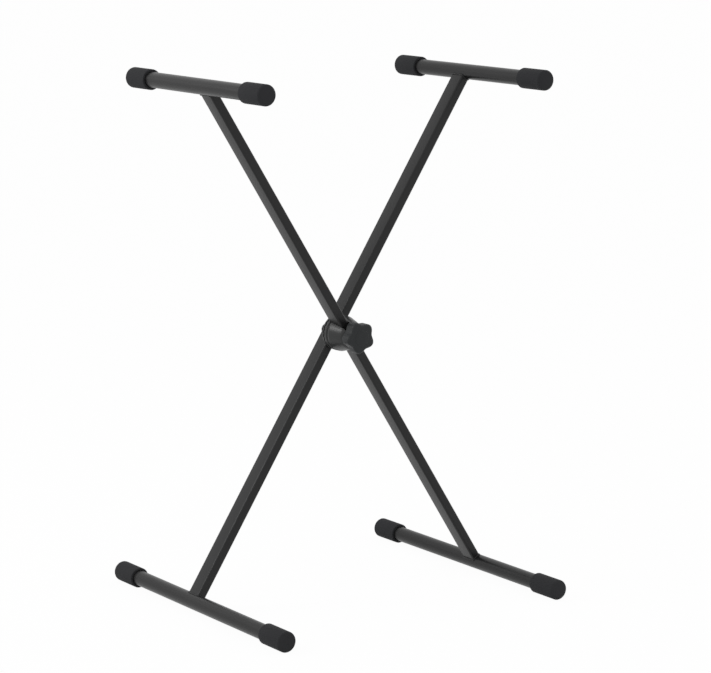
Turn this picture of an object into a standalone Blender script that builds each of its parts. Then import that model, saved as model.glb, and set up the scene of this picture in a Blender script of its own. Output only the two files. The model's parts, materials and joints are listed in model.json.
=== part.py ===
"""X-style keyboard stand: two crossed legs, a toothed clutch at the crossing and four rubber-ended bars.

The front leg runs from the top left bar to the right foot bar, and the rear leg from the top right bar
to the left foot bar. The legs turn about one bolt along Y. The stand is modelled with its clutch just
released, so that the legs are free to fold, at the angle at which it stands in use.
Metres, +Z up, the keyboard player at -Y, and the origin on the floor under the middle of the stand.
"""

import math

import bmesh
import bpy
from mathutils import Matrix, Vector

# Stance
HALF_ANGLE = math.radians(32.5)      # each leg from the vertical
PIVOT_TO_TOP = 0.483                 # bolt axis to the axis of a top bar
PIVOT_TO_FOOT = 0.489                # bolt axis to the axis of a foot bar
LEG_SPACING = 0.041                  # between the middle planes of the two legs
BAR_SHIFT = 0.002                    # each leg's bars stand this far past the middle, away from their leg

# Tubes
LEG_WIDTH = 0.015                    # across the leg, in the plane in which it swings
LEG_DEPTH = 0.030                    # along the bolt
LEG_WALL = 0.0015
LEG_CORNER = 0.0031
BAR_RADIUS = 0.0125
BAR_WALL = 0.0015
TOP_SPAN = 0.395                     # over the caps
FOOT_SPAN = 0.503
WELD_THROAT = 0.0030
WELD_CROWN = 0.62                    # how far the middle of a weld stands up, as a share of its throat

# Rubber caps
CAP_RADIUS = 0.0165
CAP_LENGTH = 0.057
CAP_END = 0.004                      # the closed end's thickness
CAP_ROUND = 0.004
CAP_LIP = 0.0008

# Clutch teeth, the same on both halves
TEETH = 24
TOOTH_RISE = 0.0009                  # half a tooth's height at the drum's radius
TOOTH_INNER = 0.016
TOOTH_RIM = 0.001                    # the chamfer outside the teeth, across and along
POCKET_RADIUS = 0.0092               # the pocket for the release spring
POCKET_FLOOR = 0.0036                # from the meeting plane
HUB_FACE = 0.0026                    # from the meeting plane

# Front drum
DRUM_RADIUS = 0.0290
DRUM_SHOULDER_RADIUS = 0.0286        # in front of the seam, where the taper starts
DRUM_TAPER = math.radians(14.2)
DRUM_ROUND = 0.009                   # between the tapered side and the front
DRUM_SETBACK = 0.0020                # from the front leg's front face
SEAM_DEPTH = 0.0009
SEAM_FROM_LEG = 0.0017               # in front of the front leg's inner face

# Rear disc
DISC_RADIUS = 0.0290
DISC_BACK_RADIUS = 0.0284
DISC_SHOULDER = 0.0040               # from the meeting plane to where the rim starts to taper
DISC_BEVEL = 0.0006
PEG_RADIUS = 0.003
PEG_LENGTH = 0.0055
PEG_ROOT = 0.002                     # how deep a peg starts inside the disc
PEG_REACH = 0.017                    # from the bolt axis, along the leg

# Bolt, spring, washer
BOLT_RADIUS = 0.004
BOLT_TIP_Y = -0.0515
BOLT_TIP_BEVEL = 0.001
BOLT_HEAD_RADIUS = 0.0092
BOLT_HEAD_HEIGHT = 0.0042
BOLT_HEAD_RIM = 0.001
BOLT_DOME_STOP = math.radians(75)    # where the dome ends and its flat top starts
BOLT_NECK = 0.0026
BOLT_NECK_RUN_OUT = 0.0012
SPRING_RADIUS = 0.0066
SPRING_WIRE = 0.0006
SPRING_TURNS = 2
SPRING_PITCH = 0.00168
SPRING_TURN_POINTS = 10
WASHER_RADIUS = 0.012
WASHER_THICKNESS = 0.0016
WASHER_BEVEL = 0.0003

# Knob
KNOB_LOBES = 5
KNOB_MEAN_RADIUS = 0.0237
KNOB_WAVE = 0.0025
KNOB_TURN = math.radians(44)         # the first lobe, seen from the front, from +X towards +Z
KNOB_BACK_Y = -0.0470
KNOB_FRONT_Y = -0.0665
KNOB_CROWN = 0.0014                  # how far the middle of the front stands proud
KNOB_CROWN_RADIUS = 0.013
KNOB_EDGE = 0.0046                   # the front edge's rounding
KNOB_BACK_EDGE = 0.0010
KNOB_WALL = 0.0030
KNOB_DRAFT = 0.0004                  # how much the wall thickens towards the front
KNOB_FACE = 0.0045                   # the front's thickness
KNOB_HUB_RADIUS = 0.0125
KNOB_HUB_BEVEL = 0.0006
KNOB_RIB = 0.0018
KNOB_RIB_DROP = 0.004                # from the knob's back down to the ribs
INSERT_RADIUS = 0.0065
INSERT_LENGTH = 0.0165
INSERT_WAIST = 0.0009
INSERT_WAIST_HALF = 0.0012
INSERT_WAIST_SLOPE = 0.0008
SOCKET_SPARE = 0.0012                # the insert's socket is this much deeper

GAP = 0.0003                         # between pieces that touch
ROUND = 32                           # facets round a bar or a cap
SMALL_ROUND = 24                     # facets round a bolt or a washer
HOLE_ROUND = 16
LOBED_ROUND = 12 * KNOB_LOBES        # facets round the knob

FRONT_LEG_Y = -LEG_SPACING / 2
REAR_LEG_Y = LEG_SPACING / 2
FRONT_FACE_Y = FRONT_LEG_Y - LEG_DEPTH / 2
REAR_FACE_Y = REAR_LEG_Y + LEG_DEPTH / 2
GAP_HALF = LEG_SPACING / 2 - LEG_DEPTH / 2      # from the meeting plane to a leg's inner face
TOOTH_CLEAR = 2 * TOOTH_RISE + GAP              # between the toothed faces when the clutch is released
BOLT_HOLE = BOLT_RADIUS + GAP
WASHER_BACK_Y = FRONT_FACE_Y - GAP
HUB_BACK_Y = WASHER_BACK_Y - WASHER_THICKNESS - GAP
FLAT_REACH = CAP_RADIUS * math.cos(math.pi / ROUND)
PIVOT_Z = PIVOT_TO_FOOT * math.cos(HALF_ANGLE) + FLAT_REACH
LEG_LEAN = {"front_leg": -HALF_ANGLE, "rear_leg": HALF_ANGLE}


def clear_scene():
    """Take away whatever the opened scene holds."""
    for old in list(bpy.data.objects):
        bpy.data.objects.remove(old, do_unlink=True)


def make_material(name, colour, roughness, metallic):
    """A plain Principled material."""
    material = bpy.data.materials.new(name)
    material.use_nodes = True
    shader = material.node_tree.nodes["Principled BSDF"]
    shader.inputs["Base Color"].default_value = (*colour, 1.0)
    shader.inputs["Roughness"].default_value = roughness
    shader.inputs["Metallic"].default_value = metallic
    material.diffuse_color = (*colour, 1.0)
    return material


def finishes():
    """The six materials of the stand."""
    return {
        "powder_coat": make_material("black_powder_coat", (0.018, 0.018, 0.019), 0.38, 0.0),
        "rubber": make_material("black_rubber", (0.022, 0.022, 0.023), 0.62, 0.0),
        "nylon": make_material("black_nylon", (0.024, 0.025, 0.027), 0.42, 0.0),
        "knob_plastic": make_material("black_knob_plastic", (0.022, 0.024, 0.026), 0.48, 0.0),
        "zinc": make_material("zinc_plated_steel", (0.62, 0.63, 0.64), 0.32, 1.0),
        "brass": make_material("brass", (0.71, 0.53, 0.25), 0.30, 1.0),
    }


def place(name, data, material, parent, location=(0, 0, 0), turn=0.0):
    """Link an object under its joint's empty, turned about the bolt's direction."""
    thing = bpy.data.objects.new(name, data)
    bpy.context.collection.objects.link(thing)
    if material is not None:
        data.materials.append(material)
    thing.parent = parent
    thing.location = location
    thing.rotation_euler = (0.0, turn, 0.0)
    return thing


def joint_empty(name, location, turn=0.0, parent=None):
    """An empty on a joint's axis, which carries the pieces that move together."""
    return place(name, None, None, parent, location, turn)


def finish_mesh(name, bm, crease=math.radians(35)):
    """Weld, face outwards and shade the mesh smooth up to the crease angle."""
    bmesh.ops.remove_doubles(bm, verts=bm.verts, dist=0.000001)
    bmesh.ops.recalc_face_normals(bm, faces=bm.faces)
    mesh = bpy.data.meshes.new(name)
    bm.to_mesh(mesh)
    bm.free()
    mesh.shade_smooth()
    mesh.set_sharp_from_angle(angle=crease)
    return mesh


def skin(name, rings, wrap=False):
    """Cover a row of closed rings of equal count, and either wrap the row round or close both ends."""
    bm = bmesh.new()
    loops = [[bm.verts.new(point) for point in ring] for ring in rings]
    pairs = list(zip(loops, loops[1:]))
    if wrap:
        pairs.append((loops[-1], loops[0]))
    for low, high in pairs:
        for index in range(len(low)):
            after = (index + 1) % len(low)
            bm.faces.new((low[index], low[after], high[after], high[index]))
    if not wrap:
        bm.faces.new(loops[0])
        bm.faces.new(loops[-1])
    return finish_mesh(name, bm)


def turned(name, profile, count, closed=False):
    """Spin a profile of (radius, y) points about Y. A closed profile leaves a bore."""
    start = math.pi / count
    bm = bmesh.new()
    points = [bm.verts.new((r * math.sin(start), y, r * math.cos(start))) for r, y in profile]
    edges = [bm.edges.new(pair) for pair in zip(points, points[1:])]
    if closed:
        edges.append(bm.edges.new((points[-1], points[0])))
    bmesh.ops.spin(bm, geom=points + edges, axis=(0, 1, 0), cent=(0, 0, 0), steps=count,
                   angle=2 * math.pi, use_merge=True)
    return finish_mesh(name, bm)


def arc(centre, radius, start, stop, steps):
    """Points on an arc, with angles in degrees."""
    angles = [math.radians(start + (stop - start) * i / steps) for i in range(steps + 1)]
    return [(centre[0] + radius * math.cos(a), centre[1] + radius * math.sin(a)) for a in angles]


def round_ring(radius, y, count, first=0.0):
    """A circle of points about Y, from the first angle on."""
    angles = [first + 2 * math.pi * index / count for index in range(count)]
    return [Vector((radius * math.cos(a), y, radius * math.sin(a))) for a in angles]


def rounded_rectangle(width, depth, corner, steps=4, between=0):
    """A rectangle in the XY plane, anticlockwise: its corner arcs, and points between them on its sides."""
    corners = ((1, 1, -1, 0), (-1, 1, 0, -1), (-1, -1, 1, 0), (1, -1, 0, 1))
    points = []
    for quarter, (side_x, side_y, along_x, along_y) in enumerate(corners):
        centre = (side_x * (width / 2 - corner), side_y * (depth / 2 - corner))
        points += arc(centre, corner, 90 * quarter, 90 * quarter + 90, steps)
        straight = abs(along_x) * width + abs(along_y) * depth - 2 * corner
        run = straight / (between + 1)
        x, y = points[-1]
        points += [(x + along_x * run * i, y + along_y * run * i) for i in range(1, between + 1)]
    return points


def use_tool(body, tool, operation):
    """Cut a hidden shape from a body, or fuse it on."""
    tool.hide_render = True
    tool.display_type = "WIRE"
    modifier = body.modifiers.new(tool.name, "BOOLEAN")
    modifier.operation = operation
    modifier.object = tool


def rod_mesh(name, radius, low, high, count=ROUND):
    """A plain round rod along Y."""
    return turned(name, [(0, low), (radius, low), (radius, high), (0, high)], count)


def box_mesh(name, size, centre):
    """A plain box."""
    bm = bmesh.new()
    bmesh.ops.create_cube(bm, size=1.0)
    matrix = Matrix.Translation(centre) @ Matrix.Diagonal((*size, 1.0))
    bmesh.ops.transform(bm, matrix=matrix, verts=bm.verts)
    return finish_mesh(name, bm)


def leg_tube_mesh(name):
    """A rectangular tube that reaches both bar axes, before its ends are coped."""
    bore_width = LEG_WIDTH - 2 * LEG_WALL
    bore_depth = LEG_DEPTH - 2 * LEG_WALL
    outer = rounded_rectangle(LEG_WIDTH, LEG_DEPTH, LEG_CORNER)
    inner = rounded_rectangle(bore_width, bore_depth, LEG_CORNER - LEG_WALL)
    low = -PIVOT_TO_FOOT
    high = PIVOT_TO_TOP
    sections = ((outer, low), (outer, high), (inner, high), (inner, low))
    return skin(name, [[Vector((x, y, z)) for x, y in loop] for loop, z in sections], wrap=True)


def bar_mesh(name, span, shift):
    """A round crossbar, open at both ends."""
    half = span / 2 - CAP_END - GAP
    low = shift - half
    high = shift + half
    bore = BAR_RADIUS - BAR_WALL
    profile = [(BAR_RADIUS, low), (BAR_RADIUS, high), (bore, high), (bore, low)]
    return turned(name, profile, ROUND, closed=True)


def cap_mesh(name, span, shift, side):
    """A rubber cup over a bar's end, with a rounded end and a softened lip. side is -1 near and 1 far."""
    end = span / 2
    bore = BAR_RADIUS + GAP
    mouth = end - CAP_LENGTH
    profile = [(0, end)]
    profile += arc((CAP_RADIUS - CAP_ROUND, end - CAP_ROUND), CAP_ROUND, 90, 0, 3)
    profile += [(CAP_RADIUS, mouth + CAP_LIP), (CAP_RADIUS - CAP_LIP, mouth), (bore, mouth)]
    profile += [(bore, end - CAP_END), (0, end - CAP_END)]
    return turned(name, [(r, shift + side * y) for r, y in profile], ROUND)


def weld_mesh(name, leg_y, towards):
    """A fillet of weld round the tube's end, on the bar. towards is 1 at the top and -1 at the foot."""
    saddle = BAR_RADIUS + 1.5 * GAP
    grown = (2 * GAP, WELD_THROAT, 2 * WELD_THROAT)
    inner, middle, outer = [rounded_rectangle(LEG_WIDTH + more, LEG_DEPTH + more, LEG_CORNER + more / 2,
                                              between=4) for more in grown]
    rings = []
    for at_inner, at_middle, at_outer in zip(inner, middle, outer):
        low_inner, low_middle, low_outer = [math.sqrt(saddle ** 2 - x ** 2)
                                            for x, _ in (at_inner, at_middle, at_outer)]
        section = ((at_inner, low_inner), (at_outer, low_outer),
                   (at_middle, low_middle + WELD_THROAT * WELD_CROWN), (at_inner, low_inner + WELD_THROAT))
        rings.append([Vector((x, y + leg_y, -towards * z)) for (x, y), z in section])
    return skin(name, rings, wrap=True)


def build_leg(prefix, frame, leg_y, shift, finish):
    """One leg with its coped tube, two bars, two welds and four caps."""
    upright = -LEG_LEAN[prefix]
    mesh = leg_tube_mesh(f"{prefix}_tube")
    tube = place(mesh.name, mesh, finish["powder_coat"], frame, (0, leg_y, 0))
    ends = (("top", PIVOT_TO_TOP, TOP_SPAN, 1), ("foot", -PIVOT_TO_FOOT, FOOT_SPAN, -1))
    for end, height, span, towards in ends:
        at = (0, 0, height)
        cope = rod_mesh(f"{prefix}_{end}_cope", BAR_RADIUS + GAP, leg_y - LEG_DEPTH, leg_y + LEG_DEPTH)
        use_tool(tube, place(cope.name, cope, None, frame, at, upright), "DIFFERENCE")
        bar = bar_mesh(f"{prefix}_{end}_bar", span, shift)
        place(bar.name, bar, finish["powder_coat"], frame, at, upright)
        weld = weld_mesh(f"{prefix}_{end}_weld", leg_y, towards)
        place(weld.name, weld, finish["powder_coat"], frame, at)
        for where, side in (("near", -1), ("far", 1)):
            cap = cap_mesh(f"{prefix}_{end}_cap_{where}", span, shift, side)
            place(cap.name, cap, finish["rubber"], frame, at, upright)
    return tube


def drill_front_leg(tube, frame):
    """The bolt's hole, right through the front leg."""
    hole = rod_mesh("front_leg_bolt_hole", BOLT_HOLE, FRONT_FACE_Y - LEG_WALL, 0, HOLE_ROUND)
    use_tool(tube, place(hole.name, hole, None, frame), "DIFFERENCE")


def drill_rear_leg(tube, frame):
    """The rear leg's holes: round and two for the pegs in the inner wall, square in the outer wall."""
    hole = rod_mesh("rear_leg_bolt_hole", BOLT_HOLE, 0, REAR_LEG_Y, HOLE_ROUND)
    use_tool(tube, place(hole.name, hole, None, frame), "DIFFERENCE")
    size = (2 * BOLT_HOLE, 4 * LEG_WALL, 2 * BOLT_HOLE)
    neck = box_mesh("rear_leg_neck_hole", size, (0, REAR_FACE_Y, 0))
    use_tool(tube, place(neck.name, neck, None, frame), "DIFFERENCE")
    for where, reach in (("upper", PEG_REACH), ("lower", -PEG_REACH)):
        peg = rod_mesh(f"rear_leg_{where}_peg_hole", PEG_RADIUS + GAP, 0, REAR_LEG_Y, HOLE_ROUND)
        use_tool(tube, place(peg.name, peg, None, frame, (0, 0, reach)), "DIFFERENCE")


def tooth_ring(radius, y, rise=0.0):
    """One point for each tip and root. The rise grows with the radius, so the flanks are flat."""
    points = round_ring(radius, y, 2 * TEETH)
    for index, point in enumerate(points):
        point.y += rise * (1 if index % 2 else -1) * radius / DRUM_RADIUS
    return points


def toothed_face(side, rim):
    """Rings from the bolt hole over the spring pocket and the teeth to the rim. side is -1 front, 1 rear."""
    middle = side * TOOTH_CLEAR / 2
    chamfer = side * (TOOTH_CLEAR / 2 + TOOTH_RISE + TOOTH_RIM / 2)
    return [
        tooth_ring(BOLT_HOLE, side * POCKET_FLOOR),
        tooth_ring(POCKET_RADIUS, side * POCKET_FLOOR),
        tooth_ring(POCKET_RADIUS, side * HUB_FACE),
        tooth_ring(TOOTH_INNER, side * HUB_FACE),
        tooth_ring(TOOTH_INNER, middle, TOOTH_RISE),
        tooth_ring(rim - TOOTH_RIM, middle, TOOTH_RISE),
        tooth_ring(rim, chamfer),
    ]


def build_rear_disc(frame, upright, finish):
    """The rear half: a toothed disc with a tapered rim, which two pegs lock to the rear leg."""
    back = GAP_HALF - GAP
    rings = toothed_face(1, DISC_RADIUS)
    rings += [
        tooth_ring(DISC_RADIUS, DISC_SHOULDER),
        tooth_ring(DISC_BACK_RADIUS, back - DISC_BEVEL),
        tooth_ring(DISC_BACK_RADIUS - DISC_BEVEL, back),
        tooth_ring(BOLT_HOLE, back),
    ]
    mesh = skin("clutch_rear", rings, wrap=True)
    disc = place(mesh.name, mesh, finish["nylon"], frame, turn=upright)
    for where, reach in (("upper", PEG_REACH), ("lower", -PEG_REACH)):
        peg = rod_mesh(f"clutch_rear_{where}_peg", PEG_RADIUS, back - PEG_ROOT, back + PEG_LENGTH, HOLE_ROUND)
        use_tool(disc, place(peg.name, peg, None, frame, (0, 0, reach)), "UNION")


def drum_side(shoulder_y, front):
    """The drum's tapered side and rounded front edge, from the seam's shoulder on."""
    slope = math.tan(DRUM_TAPER)
    centre_y = front + DRUM_ROUND
    touch_y = centre_y - DRUM_ROUND * math.sin(DRUM_TAPER)
    touch_radius = DRUM_SHOULDER_RADIUS - (shoulder_y - touch_y) * slope
    centre_radius = touch_radius - DRUM_ROUND * math.cos(DRUM_TAPER)
    rounding = arc((centre_radius, centre_y), DRUM_ROUND, -math.degrees(DRUM_TAPER), -90, 5)
    return [(DRUM_SHOULDER_RADIUS, shoulder_y)] + rounding


def build_front_drum(frame, upright, finish):
    """The front half: a toothed, tapered drum whose two cheeks cup the front leg, with a seam round it."""
    front = FRONT_FACE_Y + DRUM_SETBACK
    seam = -GAP_HALF - SEAM_FROM_LEG
    floor_radius = DRUM_RADIUS - SEAM_DEPTH
    rings = toothed_face(-1, DRUM_RADIUS)
    rings += [
        tooth_ring(DRUM_RADIUS, seam + SEAM_DEPTH),
        tooth_ring(floor_radius, seam + SEAM_DEPTH / 3),
        tooth_ring(floor_radius, seam - SEAM_DEPTH / 3),
    ]
    rings += [tooth_ring(radius, y) for radius, y in drum_side(seam - SEAM_DEPTH, front)]
    rings.append(tooth_ring(BOLT_HOLE, front))
    mesh = skin("clutch_front", rings, wrap=True)
    drum = place(mesh.name, mesh, finish["nylon"], frame, turn=upright)
    channel_floor = -GAP_HALF + GAP
    depth = 2 * LEG_DEPTH
    size = (LEG_WIDTH + 2 * GAP, depth, 4 * DRUM_RADIUS)
    channel = box_mesh("clutch_front_channel", size, (0, channel_floor - depth / 2, 0))
    use_tool(drum, place(channel.name, channel, None, frame), "DIFFERENCE")


def bolt_ring(radius, y):
    """A circle whose points start at a corner's direction of square_ring."""
    return round_ring(radius, y, SMALL_ROUND, math.pi / 4)


def square_ring(half, y):
    """The same count of points on a square, whose corners lie at 45 degrees."""
    points = []
    for point in bolt_ring(1.0, y):
        reach = half / max(abs(point.x), abs(point.z))
        points.append(Vector((point.x * reach, y, point.z * reach)))
    return points


def build_bolt(frame, finish):
    """A carriage bolt whose square neck sits in the rear leg, and whose thread reaches the knob."""
    seat = REAR_FACE_Y + GAP
    rim = seat + BOLT_HEAD_RIM
    rise = BOLT_HEAD_HEIGHT - BOLT_HEAD_RIM
    dome = [BOLT_DOME_STOP * step / 3 for step in (3, 2, 1, 0)]
    rings = [bolt_ring(BOLT_HEAD_RADIUS * math.cos(a), rim + rise * math.sin(a)) for a in dome]
    rings += [
        bolt_ring(BOLT_HEAD_RADIUS, seat),
        square_ring(BOLT_RADIUS, seat),
        square_ring(BOLT_RADIUS, seat - BOLT_NECK),
        bolt_ring(BOLT_RADIUS, seat - BOLT_NECK - BOLT_NECK_RUN_OUT),
        bolt_ring(BOLT_RADIUS, BOLT_TIP_Y + BOLT_TIP_BEVEL),
        bolt_ring(BOLT_RADIUS - BOLT_TIP_BEVEL, BOLT_TIP_Y),
    ]
    place("pivot_bolt", skin("pivot_bolt", rings), finish["zinc"], frame)


def spring_points():
    """The centre line of the release spring, from the rear disc's pocket towards the front."""
    start = POCKET_FLOOR - GAP - SPRING_WIRE
    points = []
    for index in range(SPRING_TURN_POINTS * SPRING_TURNS + 1):
        turns = index / SPRING_TURN_POINTS
        angle = 2 * math.pi * turns
        y = start - SPRING_PITCH * turns
        points.append(Vector((SPRING_RADIUS * math.cos(angle), y, SPRING_RADIUS * math.sin(angle))))
    return points


def least_gap(points):
    """The smallest clear distance between turns, measured on points more than half a turn apart."""
    apart = SPRING_TURN_POINTS // 2 + 1
    return min((a - b).length for i, a in enumerate(points) for b in points[i + apart:]) - 2 * SPRING_WIRE


def build_spring(frame, finish):
    """A coil spring round the bolt that parts the two halves when the knob is loosened."""
    points = spring_points()
    print(f"release spring: least gap between turns {1000 * least_gap(points):.2f} mm")
    curve = bpy.data.curves.new("release_spring", "CURVE")
    curve.dimensions = "3D"
    curve.bevel_depth = SPRING_WIRE
    curve.bevel_resolution = 1
    curve.use_fill_caps = True
    spline = curve.splines.new("POLY")
    spline.points.add(len(points) - 1)
    for slot, point in zip(spline.points, points):
        slot.co = (*point, 1.0)
    place("release_spring", curve, finish["zinc"], frame)


def build_washer(frame, finish):
    """A wide washer between the front leg and the knob."""
    back = WASHER_BACK_Y
    front = back - WASHER_THICKNESS
    profile = [(BOLT_HOLE, back), (WASHER_RADIUS, back), (WASHER_RADIUS, front + WASHER_BEVEL),
               (WASHER_RADIUS - WASHER_BEVEL, front), (BOLT_HOLE, front)]
    washer = turned("thrust_washer", profile, SMALL_ROUND, closed=True)
    place("thrust_washer", washer, finish["zinc"], frame)


def star_ring(y, inset=0.0):
    """The knob's lobed outline, drawn in by inset."""
    points = []
    for index in range(LOBED_ROUND):
        angle = 2 * math.pi * index / LOBED_ROUND
        radius = KNOB_MEAN_RADIUS + KNOB_WAVE * math.cos(KNOB_LOBES * (angle - KNOB_TURN)) - inset
        points.append(Vector((radius * math.cos(angle), y, radius * math.sin(angle))))
    return points


def disc_ring(radius, y):
    """A circle with as many points as star_ring."""
    return round_ring(radius, y, LOBED_ROUND)


def knob_rings():
    """The knob's skin, from the middle of its front over its lobed rim, hollow and hub into the socket."""
    floor = KNOB_FRONT_Y + KNOB_FACE
    socket = INSERT_RADIUS + GAP
    socket_end = HUB_BACK_Y - GAP - INSERT_LENGTH - SOCKET_SPARE
    rings = [
        disc_ring(KNOB_CROWN_RADIUS / 3, KNOB_FRONT_Y - KNOB_CROWN),
        disc_ring(KNOB_CROWN_RADIUS, KNOB_FRONT_Y - KNOB_CROWN / 2),
    ]
    for inset, back in arc((KNOB_EDGE, KNOB_EDGE), KNOB_EDGE, -90, -180, 4):
        rings.append(star_ring(KNOB_FRONT_Y + back, inset))
    rings += [
        star_ring(KNOB_BACK_Y - KNOB_BACK_EDGE),
        star_ring(KNOB_BACK_Y, KNOB_BACK_EDGE),
        star_ring(KNOB_BACK_Y, KNOB_WALL),
        star_ring(floor, KNOB_WALL + KNOB_DRAFT),
        disc_ring(KNOB_HUB_RADIUS + KNOB_HUB_BEVEL, floor),
        disc_ring(KNOB_HUB_RADIUS, HUB_BACK_Y - KNOB_HUB_BEVEL),
        disc_ring(KNOB_HUB_RADIUS - KNOB_HUB_BEVEL, HUB_BACK_Y),
        disc_ring(socket, HUB_BACK_Y),
        disc_ring(socket, socket_end),
    ]
    return rings


def build_knob(frame, finish):
    """A lobed clamp knob, hollow and ribbed behind, whose hub bears on the washer."""
    knob = place("knob", skin("knob", knob_rings()), finish["knob_plastic"], frame)
    inner = KNOB_HUB_RADIUS - KNOB_HUB_BEVEL
    outer = KNOB_MEAN_RADIUS + KNOB_WAVE - KNOB_WALL / 2
    low = KNOB_FRONT_Y + KNOB_FACE / 2
    high = KNOB_BACK_Y - KNOB_RIB_DROP
    size = (outer - inner, high - low, KNOB_RIB)
    for index in range(KNOB_LOBES):
        rib = box_mesh(f"knob_rib_{index + 1}", size, ((inner + outer) / 2, (low + high) / 2, 0))
        turn = -KNOB_TURN - 2 * math.pi * index / KNOB_LOBES
        use_tool(knob, place(rib.name, rib, None, frame, turn=turn), "UNION")


def build_insert(frame, finish):
    """The brass bush moulded into the knob, which runs on the bolt's thread."""
    back = HUB_BACK_Y - GAP
    front = back - INSERT_LENGTH
    middle = (back + front) / 2
    waist_radius = INSERT_RADIUS - INSERT_WAIST
    shoulder = INSERT_WAIST_HALF + INSERT_WAIST_SLOPE
    profile = [
        (BOLT_HOLE, back),
        (INSERT_RADIUS, back),
        (INSERT_RADIUS, middle + shoulder),
        (waist_radius, middle + INSERT_WAIST_HALF),
        (waist_radius, middle - INSERT_WAIST_HALF),
        (INSERT_RADIUS, middle - shoulder),
        (INSERT_RADIUS, front),
        (BOLT_HOLE, front),
    ]
    place("knob_insert", turned("knob_insert", profile, SMALL_ROUND, closed=True), finish["brass"], frame)


def main():
    """Build the stand from its two legs, its clutch and its knob."""
    clear_scene()
    finish = finishes()
    pivot = (0, 0, PIVOT_Z)
    slider = joint_empty("clutch_close_axis", pivot)
    rear = joint_empty("rear_leg_axis", pivot, LEG_LEAN["rear_leg"])
    front = joint_empty("leg_fold_axis", (0, 0, 0), LEG_LEAN["front_leg"], slider)
    knob = joint_empty("knob_turn_axis", (0, 0, 0), 0.0, slider)

    drill_front_leg(build_leg("front_leg", front, FRONT_LEG_Y, BAR_SHIFT, finish), front)
    drill_rear_leg(build_leg("rear_leg", rear, REAR_LEG_Y, -BAR_SHIFT, finish), rear)
    build_front_drum(front, -LEG_LEAN["front_leg"], finish)
    build_rear_disc(rear, -LEG_LEAN["rear_leg"], finish)
    build_bolt(rear, finish)
    build_spring(rear, finish)
    build_washer(slider, finish)
    build_knob(knob, finish)
    build_insert(knob, finish)


main()
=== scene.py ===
"""The looks of a folding x-style keyboard stand.

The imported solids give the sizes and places. Each class rebuilds one sub-assembly of the stand as finer
meshes in the same place, dresses them in their finish, and hands each one to the body that carries it.
Metres, +Z up, the player at -Y, and the pivot bolt along Y.
"""
import json
import logging
import math
from collections.abc import Callable, Sequence
from dataclasses import dataclass, field
from enum import Enum
from functools import cache

import bmesh
import bpy
from mathutils import Matrix, Vector


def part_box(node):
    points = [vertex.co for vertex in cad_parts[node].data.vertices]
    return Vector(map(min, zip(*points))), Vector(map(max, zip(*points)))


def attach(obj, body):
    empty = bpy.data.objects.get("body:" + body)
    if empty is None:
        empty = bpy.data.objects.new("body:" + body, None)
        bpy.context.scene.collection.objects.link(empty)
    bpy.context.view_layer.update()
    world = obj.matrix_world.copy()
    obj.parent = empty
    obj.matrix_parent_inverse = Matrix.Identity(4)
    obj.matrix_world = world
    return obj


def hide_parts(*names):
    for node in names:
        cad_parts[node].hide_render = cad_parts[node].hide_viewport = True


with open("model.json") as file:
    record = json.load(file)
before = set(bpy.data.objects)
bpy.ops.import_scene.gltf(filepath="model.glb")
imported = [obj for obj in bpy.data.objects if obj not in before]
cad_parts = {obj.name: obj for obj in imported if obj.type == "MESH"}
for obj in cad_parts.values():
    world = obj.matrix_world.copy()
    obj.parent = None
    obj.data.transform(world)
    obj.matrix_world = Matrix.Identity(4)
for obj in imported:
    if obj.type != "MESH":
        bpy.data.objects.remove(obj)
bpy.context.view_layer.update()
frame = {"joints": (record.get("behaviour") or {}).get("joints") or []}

LOG = logging.getLogger("keyboard_stand")

# Facets round turned pieces
SMALL_ROUND = 48
FINE_ROUND = 96
CLUTCH_ROUND = 144
KNOB_ROUND = 240

# Distances that several pieces share
RUNNING_GAP = 0.0003  # between the bolt and a hole that it passes through
HAIR = 0.0001  # between pieces that touch
BROKEN_EDGE = 0.0003  # how much a sharp edge is taken off
CORE = 0.0006  # radius of the flat disc that closes a turned skin
MERGE = 0.000002  # vertices nearer than this become one

LOOK = "_look"  # what a dressed piece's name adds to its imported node's
ALONG = 0.9  # a direction counts as along an axis from this share on
CLOUDY = (0.3, 0.7)  # the values that a Noise Texture mostly takes
FULL_TURN = 2 * math.pi

Span = tuple[float, float]
Profile = list[Span]
Colour = tuple[float, float, float, float]
Thing = bpy.types.Object
Node = bpy.types.Node
Tree = bpy.types.NodeTree
Socket = bpy.types.NodeSocket
Feed = float | Sequence[float] | Socket
Inputs = dict[str | int, Feed]


class Body(Enum):
    """The four bodies that carry the pieces."""

    REAR = "rear_frame"
    CARRIER = "clutch_carrier"
    FRONT = "front_frame"
    KNOB = "clamp_knob"


class Slot(Enum):
    """The record's material slots."""

    POWDER_COAT = "powder_coat"
    RUBBER = "rubber"
    NYLON = "nylon"
    KNOB_PLASTIC = "knob_plastic"
    ZINC = "zinc_steel"
    BRASS = "brass"


class Part(Enum):
    """What an operator selects in edit mode."""

    VERTS = "VERT"
    EDGES = "EDGE"
    FACES = "FACE"


def let_go() -> None:
    """Leave edit mode and let go of every object."""
    if bpy.context.object is not None and bpy.context.object.mode != "OBJECT":
        bpy.ops.object.mode_set(mode="OBJECT")
    bpy.ops.object.select_all(action="DESELECT")


def take(thing: Thing) -> None:
    """Select one object alone.

    Args:
        thing: The object to work on.
    """
    let_go()
    thing.select_set(True)
    bpy.context.view_layer.objects.active = thing


def edit(thing: Thing, part: Part) -> None:
    """Open an object in edit mode with nothing selected.

    Args:
        thing: The object to shape.
        part: Whether verts, edges or faces are going to be selected.
    """
    take(thing)
    bpy.ops.object.mode_set(mode="EDIT")
    bpy.ops.mesh.select_mode(type=part.value)
    bpy.ops.mesh.select_all(action="DESELECT")


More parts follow.
